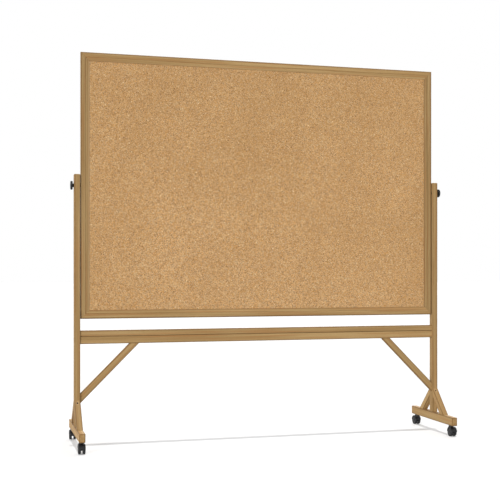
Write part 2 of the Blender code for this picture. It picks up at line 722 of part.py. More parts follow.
def hood_mesh():
    """The caster's body about its swivel axis, on the floor at z = 0: a fender over both
    wheels, the web between them, and the crown that holds the stem."""
    axle = (-CASTER_TRAIL, AXLE_HEIGHT)
    outline = arc(axle, HOOD_RADIUS, HOOD_START, HALF_TURN - HOOD_START, HOOD_ARC_STEPS)
    boss_end = HALF_TURN + FULL_TURN - BOSS_START
    outline += arc(axle, HUB_BOSS_DIAMETER / 2, BOSS_START, boss_end, BOSS_ARC_STEPS)
    body = prism(outline, "YZX", -CASTER_HALF_WIDTH, CASTER_HALF_WIDTH)
    crown = pin(CROWN_DIAMETER / 2, AXLE_HEIGHT, CROWN_TOP, WHEEL_STEPS)
    steps = [("UNION", crown)]
    place = (0, -CASTER_TRAIL, AXLE_HEIGHT)
    for _, sign in SIDES:
        well = pin(WELL_RADIUS, WEB_THICKNESS / 2, CASTER_HALF_WIDTH + CUT_OVERRUN, WHEEL_STEPS)
        steps.append(("DIFFERENCE", moved(well, (0, sign * QUARTER_TURN, 0), place)))
    axle_bore = pin(AXLE_DIAMETER / 2 + SEAT_GAP, -WEB_THICKNESS, WEB_THICKNESS)
    steps.append(("DIFFERENCE", moved(axle_bore, (0, QUARTER_TURN, 0), place)))
    stem_bore = pin(STEM_DIAMETER / 2 + SEAT_GAP, CROWN_TOP - STEM_SEAT - SEAT_GAP, CROWN_TOP + CUT_OVERRUN)
    steps.append(("DIFFERENCE", stem_bore))
    return combined("caster_hood", body, steps)


def socket_mesh():
    """The sleeve that a stem turns in, with the foot's underside on z = 0."""
    inner = STEM_DIAMETER / 2 + SEAT_GAP
    outer = SOCKET_DIAMETER / 2
    flange = SOCKET_FLANGE_DIAMETER / 2
    top = STEM_REACH + SOCKET_END_ROOM
    low = -SEAT_GAP - SOCKET_FLANGE_THICKNESS
    profile = [(inner, low), (flange, low), (flange, -SEAT_GAP), (outer, -SEAT_GAP)]
    profile += [(outer, top), (inner, top)]
    return finished("caster_socket", turned(profile, PIN_STEPS, closed=True))


def make_casters(looks, stand):
    hood = hood_mesh()
    wheel = wheel_mesh()
    socket = socket_mesh()
    stem = finished(
        "caster_stem",
        pin(STEM_DIAMETER / 2, CROWN_TOP - STEM_SEAT, FOOT_BOTTOM + STEM_REACH),
    )
    axle_half = CASTER_HALF_WIDTH - WHEEL_HUB_SETBACK
    axle = finished("caster_axle", pin(AXLE_DIAMETER / 2, -axle_half, axle_half))
    for side, sign in SIDES:
        for end, spin in ENDS:
            label = end + "_" + side
            out = -CASTER_Y if spin == 0 else CASTER_Y
            place = (sign * POST_CENTRE, out, 0)
            under_foot = (place[0], place[1], FOOT_BOTTOM)
            piece("caster_socket_" + label, socket, looks["steel"], stand, under_foot)
            swivel = empty("caster_swivel_" + label, stand, place, (0, 0, spin))
            piece("caster_hood_" + label, hood, looks["black_plastic"], swivel)
            piece("caster_stem_" + label, stem, looks["steel"], swivel)
            centre = (0, -CASTER_TRAIL, AXLE_HEIGHT)
            turn = (0, QUARTER_TURN, 0)
            piece("caster_axle_" + label, axle, looks["steel"], swivel, centre, turn)
            for wheel_side, way in SIDES:
                name = "caster_wheel_" + label + "_" + wheel_side
                turn = (0, way * QUARTER_TURN, 0)
                piece(name, wheel, looks["wheel_plastic"], swivel, centre, turn)


def main():
    clear_scene()
    looks = make_materials()
    stand = empty("stand")
    pivot = empty("board_pivot", stand, (0, 0, PIVOT_HEIGHT))
    make_board(looks, pivot)
    make_clamps(looks, pivot)
    make_sides(looks, stand)
    make_crossbar(looks, stand)
    make_casters(looks, stand)


main()
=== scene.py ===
"""The finished look of the rolling cork bulletin board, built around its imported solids.

Lengths are metres, +Z is up and the front faces -Y, as in the solids. The wood, cork, plastic
and metal are procedural materials in the pieces' own coordinates. The wheels, caster hoods and
knobs are finer pieces that stand for the solids of the same name, and the glue lines in the
board frame's mitres are pieces of the scene alone.
"""

import json
import math

import bmesh
import bpy
import numpy as np
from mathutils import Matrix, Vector


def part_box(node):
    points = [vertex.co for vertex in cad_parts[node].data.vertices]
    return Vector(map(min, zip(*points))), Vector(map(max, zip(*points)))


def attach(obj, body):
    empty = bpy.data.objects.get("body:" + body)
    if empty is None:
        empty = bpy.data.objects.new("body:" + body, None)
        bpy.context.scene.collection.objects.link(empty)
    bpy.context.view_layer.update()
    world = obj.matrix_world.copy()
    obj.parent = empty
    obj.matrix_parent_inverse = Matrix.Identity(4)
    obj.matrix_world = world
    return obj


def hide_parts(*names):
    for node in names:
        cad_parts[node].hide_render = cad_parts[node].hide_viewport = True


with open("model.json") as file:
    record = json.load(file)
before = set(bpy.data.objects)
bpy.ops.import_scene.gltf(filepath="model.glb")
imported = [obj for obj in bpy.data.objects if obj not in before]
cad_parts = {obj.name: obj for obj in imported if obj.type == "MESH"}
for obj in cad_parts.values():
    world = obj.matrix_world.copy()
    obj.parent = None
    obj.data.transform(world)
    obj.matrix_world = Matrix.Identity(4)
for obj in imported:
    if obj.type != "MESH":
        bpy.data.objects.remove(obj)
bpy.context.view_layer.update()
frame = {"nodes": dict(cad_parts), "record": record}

HALF_TURN = math.pi
FULL_TURN = 2 * math.pi
SIDES = (("left", -1), ("right", 1))
WHITE = (1, 1, 1, 1)


def linear(byte):
    value = byte / 255
    return value / 12.92 if value <= 0.04045 else ((value + 0.055) / 1.055) ** 2.4


def colour(red, green, blue):
    """A shader's colour from the bytes that it shows as."""
    return (linear(red), linear(green), linear(blue), 1)


def middle_of(node):
    low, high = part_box(node)
    return (low + high) / 2


# Camera
CAMERA_LENS = 72.56
CAMERA_SENSOR = 36
CAMERA_PLACE = (-1.4787, -5.044, 0.8751)
CAMERA_YAW = math.radians(15.544)
CAMERA_SHIFT = 0.0395
CAMERA_REACH = 200

# Each sun: the brightness that it gives a white surface facing it, how wide it looks in
# degrees, and the way it shines
SUNS = {
    "overhead": (0.5, 0.7, (0, 0.022, -1)),
    "key": (0.8, 35, (0.68, 0.72, -0.18)),
    "back": (0.5, 60, (-0.5, -0.8, -0.35)),
}
# The world's level for diffuse light; what is seen directly is white
WORLD_LEVEL = 0.45
# The floor: its shade and glow as seen, its shade for diffuse light, how rough it is, and half
# its width
FLOOR_SEEN = 0.76
FLOOR_GLOW = 0.16
FLOOR_BOUNCE = 0.36
FLOOR_ROUGHNESS = 0.9
FLOOR_HALF = 60

# The mean of a noise in each channel, and the span that most of its values lie in
NOISE_MEAN = (0.5, 0.5, 0.5)
NOISE_SPAN = (0.3, 0.7)

# Each length of wood: the way its grain runs, and how light it is beside the others, partly
# its own tone and partly painted light and shade for how the lamps fall on it
WOODS = {
    "frame_top_rail": ((1, 0, 0), 1.05),
    "frame_bottom_rail": ((1, 0, 0), 1.03),
    "frame_left_stile": ((0, 0, 1), 0.9),
    "frame_right_stile": ((0, 0, 1), 0.85),
    "post_left": ((0, 0, 1), 1.02),
    "post_right": ((0, 0, 1), 0.98),
    "stretcher_upper": ((1, 0, 0), 0.98),
    "stretcher_lower": ((1, 0, 0), 1.04),
    "diagonal_brace_left": ((1, 0, 1), 1.01),
    "diagonal_brace_right": ((-1, 0, 1), 0.92),
    "foot_left": ((0, 1, 0), 1.18),
    "foot_right": ((0, 1, 0), 1.05),
    "foot_brace_front_left": ((0, 1, 1), 0.86),
    "foot_brace_back_left": ((0, -1, 1), 0.86),
    "foot_brace_front_right": ((0, 1, 1), 1.08),
    "foot_brace_back_right": ((0, -1, 1), 1.1),
}
# Lengths that meet flush and share their outer edges
FAMILIES = ("frame", "stretcher")
# Lengths whose ends are cut square, so that the edges there have a line too
SQUARE_ENDS = ("post", "foot_left", "foot_right")

WOOD_SHADES = {
    "pale": colour(195, 164, 115),
    "middle": colour(183, 151, 102),
    "deep": colour(149, 116, 71),
    "warm": colour(169, 119, 71),
}
PORE_SHADE = colour(110, 80, 46)
END_SHADE = colour(134, 100, 62)
EDGE_PAINTED_SHADE = colour(118, 88, 51)
SEAT_PAINTED_SHADE = colour(112, 80, 44)
SEAT_PAINTED_LIGHT = colour(236, 198, 146)

# Noise in the wood: its frequency per metre along and across the fibres, and its scale,
# detail and roughness
WOOD_NOISE = {
    "fibres": ((7.0, 420.0), 1.0, 4.0, 0.62),
    "broad": ((1.3, 60.0), 1.0, 3.0, 0.55),
    "streaks": ((1.9, 105.0), 1.3, 2.0, 0.5),
    "dashes": ((55.0, 1900.0), 1.0, 1.0, 0.5),
}
# The span of the dashes over which they turn into pores
PORES_IN_DASHES = (0.655, 0.72)
# The heart of the tree lies beside the piece, and its rings wander along the piece.
RINGS = {"Scale": 58.0, "Distortion": 1.4, "Detail": 2.0, "Detail Scale": 1.3}
RINGS_SPAN = (0.15, 0.98)
WANDER_FREQUENCY = (1.1, 9.0)
WANDER_REACH = (0.0, 0.055, 0.055)
# Each length is cut from another place in the wood: its seed times this step
SEED_STEP = (0.731, 0.173, 0.291)
# Shades laid over the wood in turn: the pattern, the span of it over which the shade comes
# in, the shade's shares at the ends of that span, and the shade
WOOD_LAYERS = (
    ("rings", (0.0, 1.0), (0.0, 0.4), "deep"),
    ("broad", (0.38, 0.62), (0.0, 0.66), "deep"),
    ("streaks", (0.5, 0.64), (0.0, 0.5), "warm"),
    ("pores", (0.0, 1.0), (0.0, 0.5), "pore"),
    ("ends", (0.85, 0.97), (0.0, 0.3), "end"),
)
WOOD_ROUGHNESS = (0.5, 0.66)
WOOD_SPECULAR = 0.14

# Painted shade along the edges: how far the line reaches in, how uneven it is, and its share of
# that on the posts
FRAME_EDGE = 0.009
STAND_EDGE = 0.006
EDGE_PER_METRE = 30.0
EDGE_STRENGTH = (0.65, 0.95)
POST_EDGE_SHARE = 0.2
# Along a post's rounded corners the painted shade lies a little way in: the depths at which the
# line starts, is full, starts to fade and ends, its shares at each post's left and right corners,
# and where across the post one share gives way to the other
CORNER_LINE = (0.0068, 0.0048, 0.0025, 0.0005)
CORNERS = {"post_left": (0.85, 0.25), "post_right": (0.85, 0.85)}
POST_MIDDLE = (-0.001, 0.001)
# In the gap beside the post, where the post's shadow falls, the left stile's painted edge shade
# is mostly left out: the share that is left, and the heights over which it comes back below the
# post's top and above the stile's foot
GAP_PAINTED_EDGE_SHARE = 0.2
GAP_PAINTED_EDGE_BELOW_TOP = 0.004
GAP_PAINTED_EDGE_ABOVE_FOOT = (0.02, 0.045)
# Painted light on the top rail's and left stile's lips beside the cork, painted shade on the
# right stile's and bottom rail's lips and in the crossbar's joint: the share and the shade
PAINTED_SEATS = {
    "frame_top_rail": (0.2, SEAT_PAINTED_LIGHT),
    "frame_left_stile": (0.7, SEAT_PAINTED_LIGHT),
    "frame_right_stile": (0.6, SEAT_PAINTED_SHADE),
    "frame_bottom_rail": (0.7, SEAT_PAINTED_SHADE),
    "stretcher_upper": (0.15, SEAT_PAINTED_SHADE),
    "stretcher_lower": (0.65, SEAT_PAINTED_SHADE),
}
CORK_SEAT_REACH = 0.008
JOINT_LINE = (0.0016, 0.0036)
# Round each screw in a foot brace the wood is paler.
SCREW_RING = (0.0062, 0.0078)
SCREW_RING_SHARE = 0.3
SCREW_RING_SHADE = colour(212, 180, 138)
# Painted shade on one foot brace, over all its faces but its two sides, to tone down its lit top.
PAINTED_SHADE_BRACE = "foot_brace_front_right"
BRACE_PAINTED_SHADE_SHARE = 0.5
BRACE_PAINTED_SHADE = colour(128, 97, 58)

# Cork: stops of the granules' shades and hues, which a random value of each granule picks
CORK_GRANULES = [
    (0.0, colour(106, 68, 32)),
    (0.15, colour(170, 121, 68)),
    (0.5, colour(217, 166, 107)),
    (0.85, colour(246, 204, 146)),
    (1.0, colour(255, 236, 192)),
]
CORK_HUES = [(0.35, colour(220, 151, 58)), (0.65, colour(184, 163, 142))]
COARSE_PER_METRE = 300.0
FINE_PER_METRE = 760.0
FINE_SHARE = 0.36
HUE_SHARE = 0.27
WARP_PER_METRE = 260.0
WARP_REACH = 0.0022
CRUMBS_PER_METRE = 1500.0
# The place in the broad noise that gives the board its slightly paler and darker sides: painted
# light and shade for the light that falls unevenly over the board
BROAD_PAINTED_LIGHT_OFFSET = (0.0, 285.0, 0.0)
SEAM_SPAN = (0.0, 0.09)
# Shades laid over the cork in turn, as those of the wood
CORK_LAYERS = (
    ("clumps", (0.32, 0.5), (0.16, 0.0), colour(146, 106, 60)),
    ("clumps", (0.52, 0.7), (0.0, 0.14), colour(244, 204, 144)),
    ("cloud", (0.4, 0.62), (0.0, 0.26), colour(172, 128, 76)),
    # Painted light and shade over the board, from the broad noise
    ("broad", (0.43, 0.77), (0.26, 0.0), colour(172, 130, 76)),
    ("coarse", (0.945, 0.965), (0.0, 0.75), colour(92, 60, 32)),
    ("coarse", (0.003, 0.006), (0.8, 0.0), colour(252, 234, 190)),
    ("fine", (0.945, 0.955), (0.0, 0.7), colour(250, 224, 178)),
    ("seams", (0.0, 1.0), (0.3, 0.0), colour(120, 82, 48)),
)
# Painted light on the cork beside the left stile, against the shade that falls there.
CORK_PAINTED_LIGHT_WIDTH = 0.004
CORK_PAINTED_LIGHT_SHARE = 0.35
CORK_PAINTED_LIGHT = colour(255, 232, 188)

# Smooth faces: the angle up to which they run on, the grid on which points count as one, the
# distance at which points are joined, and how much large faces weigh in the normals
SMOOTH_ANGLE = math.radians(35)
POINTS_PER_METRE = 1e5
WELD = 1e-7
FACE_WEIGHT = 60

# Wheel: its axle's bore, the roundings of its edges, its grooved tread and its dished side
WHEEL_STEPS = 96
WHEEL_BORE = 0.0034
WHEEL_INNER_EDGE = 0.0014
WHEEL_INNER_FLAT = 0.0022
WHEEL_SHOULDER = 0.0036
WHEEL_GROOVE_SHARES = (0.34, 0.5)
WHEEL_GROOVE_DEPTH = 0.0004
WHEEL_GROOVE_FLOOR = 0.0001
WHEEL_RIM = 0.0014
WHEEL_LIP = 0.0007
WHEEL_LIP_DROP = 0.0001
WHEEL_DISH = 0.0016
WHEEL_DISH_SLOPE = 0.0010
CAP_EDGE = 0.0006
CAP_FOOT = 0.0086
# Points of the hub cap's crown, past the wheel's outer face and out from its axle
CAP_CROWN = (
    (-0.0003, 0.0070),
    (0.0001, 0.0048),
    (0.0003, 0.0),
    (-0.0004, 0.0),
    (-0.0004, WHEEL_BORE),
)

# Hood: its fender starts and ends at an angle above the level, its swivel axis stands at the
# trail behind its axle, its web lies between the wheels and its boss is round the axle
HOOD_STEPS = 56
HOOD_START = math.radians(6)
HOOD_TRAIL = 0.0115
HOOD_THICKNESS = 0.003
HOOD_EDGE = 0.0024
HOOD_EDGE_DROP = 0.0005
HOOD_CROWN = 0.0001
HOOD_BEVEL = 0.0006
WEB_HALF = 0.0046
WEB_BORE = 0.0032
BOSS_STEPS = 48
BOSS_BORE = 0.0033
BOSS_SIDE = 0.0058
BOSS_RADIUS = 0.0059
BOSS_EDGE = 0.0006
# Points of the collar round the stem: past the fender's crown, or past the hood's top, and
# out from the swivel axis
COLLAR_FOOT = (
    (-0.012, 0.0042),
    (-0.012, 0.0100),
    (-0.0042, 0.0150),
    (-0.0010, 0.01365),
    (0.0006, 0.0130),
    (0.0020, 0.01275),
)
COLLAR_TOP = (
    (-0.0011, 0.01275),
    (-0.0004, 0.0125),
    (0.0, 0.0118),
    (0.0, 0.0054),
    (-0.0007, 0.0050),
    (-0.0007, 0.0042),
)

# Knob: its flutes, the rounding of its rim, its bore, how far out its head starts, and the
# radius of its neck
KNOB_FLUTES = 36
KNOB_STEPS_PER_FLUTE = 8
KNOB_FLUTE_DEPTH = 0.0007
KNOB_EDGE = 0.0020
KNOB_BORE = 0.0043
KNOB_HEAD = 0.0052
KNOB_NECK = 0.009
# Points of the neck's foot, of the fillet under the head, of the step down from the rim to
# the dished face, and of the button: along the axis, and out from the neck, rim or axis
KNOB_FOOT = ((0.0, -0.0006), (0.0006, 0.0))
KNOB_FILLET = ((-0.0012, 0.0), (-0.0004, 0.0004), (0.0, 0.0012))
KNOB_UNDERSIDE = -0.0040
KNOB_DISH = ((-0.0002, -0.0032), (-0.0011, -0.0050), (-0.0013, -0.0069))
KNOB_BUTTON = (
    (-0.0013, 0.0062),
    (-0.0010, 0.0057),
    (-0.0004, 0.0053),
    (-0.0002, 0.0040),
    (-0.0001, 0.0),
    (-0.0034, 0.0),
    (-0.0034, KNOB_BORE),
)

# Glue line in a mitre: points of its outline, in from the frame's outer edge and out from
# the frame's middle, and half its thickness
GLUE_OUTLINE = ((0.0016, 0.0072), (0.0040, 0.0104), (0.0290, 0.0104))
GLUE_HALF = 0.00007


# Materials


def add_node(tree, kind, inputs=None, **settings):
    """A node with its settings. Each input gets a value, or a link where an output is given."""
    node = tree.nodes.new(kind)
    for key, value in settings.items():
        setattr(node, key, value)
    for key, value in (inputs or {}).items():
        if isinstance(value, bpy.types.NodeSocket):
            tree.links.new(value, node.inputs[key])
        else:
            node.inputs[key].default_value = value
    return node


class Look:
    """A material, and short ways to add nodes to it."""

    def __init__(self, name):
        self.material = bpy.data.materials.new(name)
        self.material.use_nodes = True
        self.tree = self.material.node_tree
        self.tree.nodes.clear()
        coordinates = self.add("ShaderNodeTexCoord").outputs
        self.place = coordinates["Object"]
        self.normal = coordinates["Normal"]
        self.shader = self.add("ShaderNodeBsdfPrincipled")
        self.add("ShaderNodeOutputMaterial", {"Surface": self.shader.outputs["BSDF"]})

    def add(self, kind, inputs=None, **settings):
        return add_node(self.tree, kind, inputs, **settings)

    def maths(self, operation, one, other=0.0):
        return self.add("ShaderNodeMath", {0: one, 1: other}, operation=operation).outputs[0]

    def away(self, value, centre):
        """How far a value is from the centre."""
        return self.maths("ABSOLUTE", self.maths("SUBTRACT", value, centre))

    def vector(self, operation, one, other):
        node = self.add("ShaderNodeVectorMath", {0: one, 1: other}, operation=operation)
        return node.outputs["Value" if operation == "DOT_PRODUCT" else "Vector"]

    def axes(self, vector):
        return self.add("ShaderNodeSeparateXYZ", {0: vector}).outputs

    def channels(self, shade):
        return self.add("ShaderNodeSeparateColor", {0: shade}).outputs

    def noise(self, vector, scale, detail=2.0, roughness=0.5, output="Fac"):
        inputs = {"Vector": vector, "Scale": scale, "Detail": detail, "Roughness": roughness}
        return self.add("ShaderNodeTexNoise", inputs).outputs[output]

    def cells(self, vector, scale, feature="F1", output="Color"):
        inputs = {"Vector": vector, "Scale": scale}
        return self.add("ShaderNodeTexVoronoi", inputs, feature=feature).outputs[output]

    def ramp(self, value, stops):
        node = self.add("ShaderNodeValToRGB", {"Fac": value})
        elements = node.color_ramp.elements
        while len(elements) < len(stops):
            elements.new(1)
        for element, (position, shade) in zip(elements, stops):
            element.position = position
            element.color = shade
        return node.outputs["Color"]

    def spread(self, value, span, ends=(0.0, 1.0)):
        """Goes from one of the ends to the other while the value crosses the span."""
        inputs = {"Value": value, 1: span[0], 2: span[1], 3: ends[0], 4: ends[1]}
        return self.add("ShaderNodeMapRange", inputs, clamp=True).outputs[0]

    def mix(self, share, one, other):
        """One colour at share 0 and the other at share 1."""
        inputs = {0: share, 6: one, 7: other}
        return self.add("ShaderNodeMix", inputs, data_type="RGBA").outputs[2]

    def layered(self, tone, patterns, layers):
        """The tone with a shade mixed in for each of the layers, as a pattern directs."""
        for pattern, span, shares, shade in layers:
            tone = self.mix(self.spread(patterns[pattern], span, shares), tone, shade)
        return tone

    def bump(self, height, distance, strength, normal=None):
        inputs = {"Height": height, "Distance": distance, "Strength": strength}
        if normal is not None:
            inputs["Normal"] = normal
        return self.add("ShaderNodeBump", inputs).outputs["Normal"]

    def surface(self, **values):
        """Sets sockets of the shader, each to a value or to the output of a node."""
        for key, value in values.items():
            socket = self.shader.inputs[key.replace("_", " ")]
            if isinstance(value, bpy.types.NodeSocket):
                self.tree.links.new(value, socket)
            else:
                socket.default_value = value
        return self.material


def family_of(node):
    """The lengths that meet flush with a length of wood, with itself among them."""
    for start in FAMILIES:
        if node.startswith(start):
            return [other for other in WOODS if other.startswith(start)]
    return [node]


def near_edges(look, inside, node, turn):
    """1 on the long edges of the node's family, and on those of its ends if they are cut
    square, fading to 0 towards the middle of the faces."""
    back = turn.to_matrix().transposed()
    solids = [frame["nodes"][other].data for other in family_of(node)]
    points = [back @ point.co for solid in solids for point in solid.vertices]
    fade = FRAME_EDGE if node.startswith("frame") else STAND_EDGE
    shares = []
    axes = look.axes(inside)
    for index in range(3):
        low = min(point[index] for point in points)
        high = max(point[index] for point in points)
        away = look.away(axes[index], (low + high) / 2)
        reach = (high - low) / 2
        shares.append(look.spread(away, (reach - fade, reach - fade / 3)))
    end, one, other = shares
    sides = look.maths("MULTIPLY", one, other)
    if not node.startswith(SQUARE_ENDS):
        return sides
    ends = look.maths("MULTIPLY", end, look.maths("MAXIMUM", one, other))
    return look.maths("MAXIMUM", sides, ends)


def near_corners(look, node):
    """The painted shade's share for each of a post's rounded corners, along their inside; 0
    elsewhere.
    """
    low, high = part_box(node)
    half = (high.x - low.x) / 2
    across = look.maths("SUBTRACT", look.axes(look.place)["X"], (low.x + high.x) / 2)
    away = look.maths("ABSOLUTE", across)
    start, full, fade, end = CORNER_LINE
    share = look.spread(across, POST_MIDDLE, CORNERS[node])
    inner = look.spread(away, (half - start, half - full))
    outer = look.spread(away, (half - fade, half - end), (1.0, 0.0))
    return look.maths("MULTIPLY", look.maths("MULTIPLY", share, inner), outer)


def beside_post(look):
    """How much of the left stile's painted edge shade is left in the gap beside the post."""
    height = look.axes(look.place)["Z"]
    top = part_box("post_left")[1].z
    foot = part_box("frame_left_stile")[0].z
    low, high = GAP_PAINTED_EDGE_ABOVE_FOOT
    above = look.spread(height, (top - GAP_PAINTED_EDGE_BELOW_TOP, top), (GAP_PAINTED_EDGE_SHARE, 1.0))
    below = look.spread(height, (foot + low, foot + high), (1.0, GAP_PAINTED_EDGE_SHARE))
    return look.maths("MAXIMUM", above, below)


def near_cork(look):
    """1 on the wood beside the cork, fading to 0 away from it."""
    axes = look.axes(look.place)
    low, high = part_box("frame_bottom_rail")[1].z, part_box("frame_top_rail")[0].z
    height = look.away(axes["Z"], (low + high) / 2)
    across = look.maths("ABSOLUTE", axes["X"])
    across = look.maths("SUBTRACT", across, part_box("frame_right_stile")[0].x)
    beyond = look.maths("SUBTRACT", height, (high - low) / 2)
    return look.spread(look.maths("MAXIMUM", across, beyond), (0.0, CORK_SEAT_REACH), (1.0, 0.0))


def near_joint(look):
    """1 on the rounded edges where the crossbar's two members meet, fading to 0 beyond them."""
    away = look.away(look.axes(look.place)["Z"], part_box("stretcher_lower")[1].z)
    return look.spread(away, JOINT_LINE, (1.0, 0.0))


def near_screw(look, node):
    """The share of the paler ring round the screw in a foot brace."""
    head = middle_of(node.replace("foot_brace", "foot_brace_screw"))
    flat = look.vector("MULTIPLY", look.place, (1.0, 0.0, 1.0))
    offset = look.vector("SUBTRACT", flat, (head.x, 0.0, head.z))
    away = look.add("ShaderNodeVectorMath", {0: offset}, operation="LENGTH").outputs["Value"]
    return look.spread(away, SCREW_RING, (SCREW_RING_SHARE, 0.0))


def painted_edge_share(look, inside, node, turn):
    """How much painted shade lies along the edges of a length of wood."""
    edges = near_edges(look, inside, node, turn)
    if node in CORNERS:
        edges = look.maths("MULTIPLY", edges, POST_EDGE_SHARE)
        edges = look.maths("MAXIMUM", edges, near_corners(look, node))
    # Less painted shade on the left stile's edge in the post's shadow
    if node == "frame_left_stile":
        edges = look.maths("MULTIPLY", edges, beside_post(look))
    uneven = look.noise(look.place, EDGE_PER_METRE, detail=3.0, roughness=0.6)
    return look.maths("MULTIPLY", edges, look.spread(uneven, NOISE_SPAN, EDGE_STRENGTH))


def wood_patterns(look, inside, direction, seed):
    """The rings, fibres, streaks and pores of a length of wood, and where its ends are."""
    along = look.vector("ADD", inside, tuple(seed * step for step in SEED_STEP))
    lengthwise, across = WANDER_FREQUENCY
    slow = look.vector("MULTIPLY", along, (lengthwise, across, across))
    wander = look.noise(slow, 1.0, detail=2.0, roughness=0.55, output="Color")
    wander = look.vector("SUBTRACT", wander, NOISE_MEAN)
    bent = look.vector("ADD", along, look.vector("MULTIPLY", wander, WANDER_REACH))
    rings = look.add(
        "ShaderNodeTexWave",
        {"Vector": bent, **RINGS},
        wave_type="RINGS",
        rings_direction="X",
        wave_profile="SAW",
    ).outputs["Fac"]
    patterns = {"rings": look.spread(rings, RINGS_SPAN)}
    for name, ((lengthwise, across), scale, detail, roughness) in WOOD_NOISE.items():
        drawn = look.vector("MULTIPLY", along, (lengthwise, across, across))
        patterns[name] = look.noise(drawn, scale, detail, roughness)
    patterns["pores"] = look.spread(patterns["dashes"], PORES_IN_DASHES)
    facing = look.vector("DOT_PRODUCT", look.normal, direction)
    patterns["ends"] = look.maths("ABSOLUTE", facing)
    return patterns


def wood(node, grain, light, seed):
    """Pale reddish hardwood with a satin varnish; its fibres run along grain."""
    look = Look(node + "_wood")
    direction = Vector(grain).normalized()
    turn = direction.to_track_quat("X", "Z").to_euler()
    inputs = {"Vector": look.place, "Rotation": turn}
    inside = look.add("ShaderNodeMapping", inputs, vector_type="TEXTURE").outputs[0]
    patterns = wood_patterns(look, inside, direction, seed)

    shades = {"pore": PORE_SHADE, "end": END_SHADE}
    for name, (red, green, blue, _) in WOOD_SHADES.items():
        shades[name] = (red * light, green * light, blue * light, 1)
    tone = look.mix(look.spread(patterns["fibres"], NOISE_SPAN), shades["middle"], shades["pale"])
    layers = [(name, span, shares, shades[shade]) for name, span, shares, shade in WOOD_LAYERS]
    tone = look.layered(tone, patterns, layers)
    # Painted shade along the edges
    tone = look.mix(painted_edge_share(look, inside, node, turn), tone, EDGE_PAINTED_SHADE)
    # Painted light and shade on the lips beside the cork, and painted shade in the crossbar's
    # joint
    if node in PAINTED_SEATS:
        share, shade = PAINTED_SEATS[node]
        near = near_joint(look) if node.startswith("stretcher") else near_cork(look)
        tone = look.mix(look.maths("MULTIPLY", near, share), tone, shade)
    # Painted shade on this brace but for its two sides
    if node == PAINTED_SHADE_BRACE:
        side = look.vector("DOT_PRODUCT", look.normal, (1.0, 0.0, 0.0))
        painted_shade = look.spread(look.maths("ABSOLUTE", side), (0.6, 0.85), (BRACE_PAINTED_SHADE_SHARE, 0.0))
        tone = look.mix(painted_shade, tone, BRACE_PAINTED_SHADE)
    if node.startswith("foot_brace"):
        tone = look.mix(near_screw(look, node), tone, SCREW_RING_SHADE)

    rough = look.spread(patterns["fibres"], (0.25, 0.75), WOOD_ROUGHNESS)
    solid = look.maths("SUBTRACT", 1.0, patterns["pores"])
    relief = look.bump(patterns["fibres"], distance=0.00022, strength=0.35)
    relief = look.bump(solid, distance=0.00014, strength=0.5, normal=relief)
    return look.surface(
        Base_Color=tone, Roughness=rough, Normal=relief, Specular_IOR_Level=WOOD_SPECULAR
    )


def cork():
    """Pressed cork: granules of a few sizes in tans and browns, with small dark and pale bits."""
    look = Look("cork_granules")
    warp = look.noise(look.place, WARP_PER_METRE, output="Color")
    warp = look.vector("SUBTRACT", warp, NOISE_MEAN)
    bent = look.vector("ADD", look.place, look.vector("MULTIPLY", warp, (WARP_REACH,) * 3))
    coarse = look.channels(look.cells(bent, COARSE_PER_METRE))
    fine = look.channels(look.cells(bent, FINE_PER_METRE))
    seams = look.cells(bent, COARSE_PER_METRE, "DISTANCE_TO_EDGE", "Distance")
    patterns = {
        "clumps": look.noise(look.place, 95.0, detail=2.0, roughness=0.55),
        "cloud": look.noise(look.place, 2.4, detail=6.0, roughness=0.72),
        "broad": look.noise(look.vector("ADD", look.place, BROAD_PAINTED_LIGHT_OFFSET), 0.75, detail=1.0),
        "coarse": coarse["Green"],
        "fine": fine["Green"],
        "seams": look.spread(seams, SEAM_SPAN),
    }
    tone = look.ramp(coarse["Red"], CORK_GRANULES)
    tone = look.mix(FINE_SHARE, tone, look.ramp(fine["Red"], CORK_GRANULES))
    tone = look.mix(HUE_SHARE, tone, look.ramp(coarse["Blue"], CORK_HUES))
    tone = look.layered(tone, patterns, CORK_LAYERS)
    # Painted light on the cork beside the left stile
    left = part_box("frame_left_stile")[1].x
    painted_light = look.spread(look.axes(look.place)["X"], (left, left + CORK_PAINTED_LIGHT_WIDTH), (CORK_PAINTED_LIGHT_SHARE, 0.0))
    tone = look.mix(painted_light, tone, CORK_PAINTED_LIGHT)

    relief = look.bump(patterns["seams"], distance=0.0003, strength=0.5)
    crumbs = look.noise(look.place, CRUMBS_PER_METRE, detail=3.0, roughness=0.6)
    relief = look.bump(crumbs, distance=0.00025, strength=0.4, normal=relief)
    rough = look.spread(fine["Blue"], (0.0, 1.0), (0.82, 0.95))
    return look.surface(Base_Color=tone, Roughness=rough, Normal=relief, Specular_IOR_Level=0.25)


def fibreboard():
    """The panel's hidden core of pressed fibres."""
    look = Look("core_fibreboard")
    pressed = look.vector("MULTIPLY", look.place, (1.0, 6.0, 1.0))
    fluff = look.noise(pressed, 900.0, detail=4.0, roughness=0.6)
    tone = look.ramp(fluff, [(0.3, colour(114, 92, 66)), (0.7, colour(142, 118, 88))])
    rough = look.spread(fluff, NOISE_SPAN, (0.8, 0.92))
    relief = look.bump(fluff, distance=0.0003, strength=0.5)
    return look.surface(Base_Color=tone, Roughness=rough, Normal=relief)


